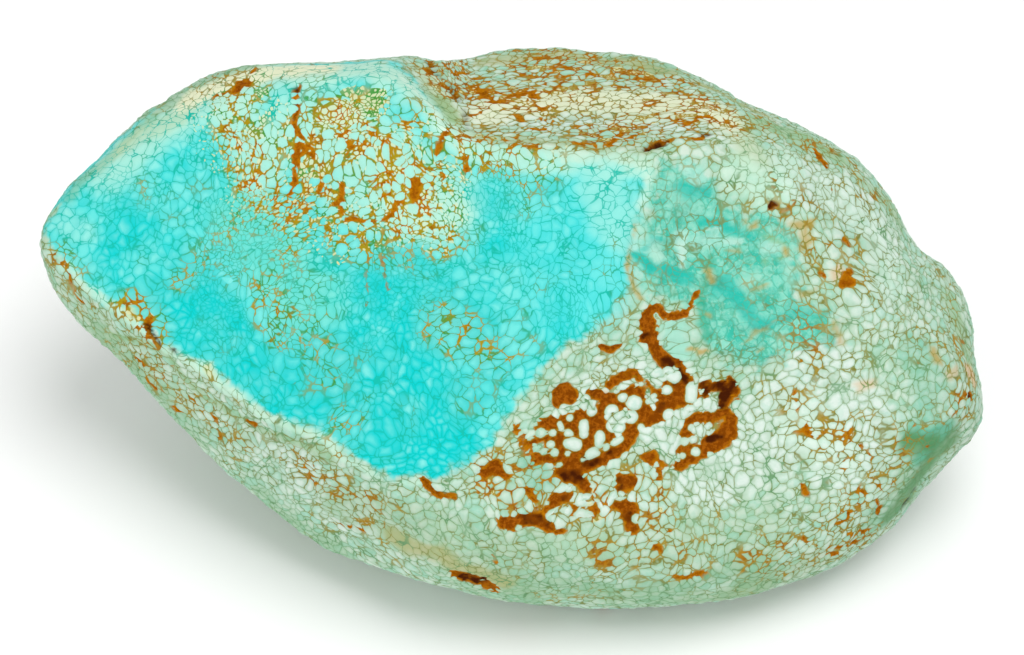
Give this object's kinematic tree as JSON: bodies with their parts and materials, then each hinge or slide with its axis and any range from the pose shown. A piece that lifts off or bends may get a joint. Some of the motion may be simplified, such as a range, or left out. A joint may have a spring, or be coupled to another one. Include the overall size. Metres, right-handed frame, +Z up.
{
  "type": "raw turquoise nugget",
  "caption": "Raw turquoise nugget: one natural stone with a flat broken face, a weathered veined skin and a flat break to lie on.",
  "frame": {"origin": "centre of the stone's outline in plan, at the level of the flat break that it lies on", "axes": "+Z up as the stone lies, +X along its length towards the blunt end, so -Y is the side that the broad face leans towards"},
  "size_m": [0.0604, 0.0328, 0.0281],
  "materials": {
    "turquoise": "satin"
  },
  "bodies": {
    "root": {"turquoise_nugget": "turquoise"}
  },
  "joints": []
}
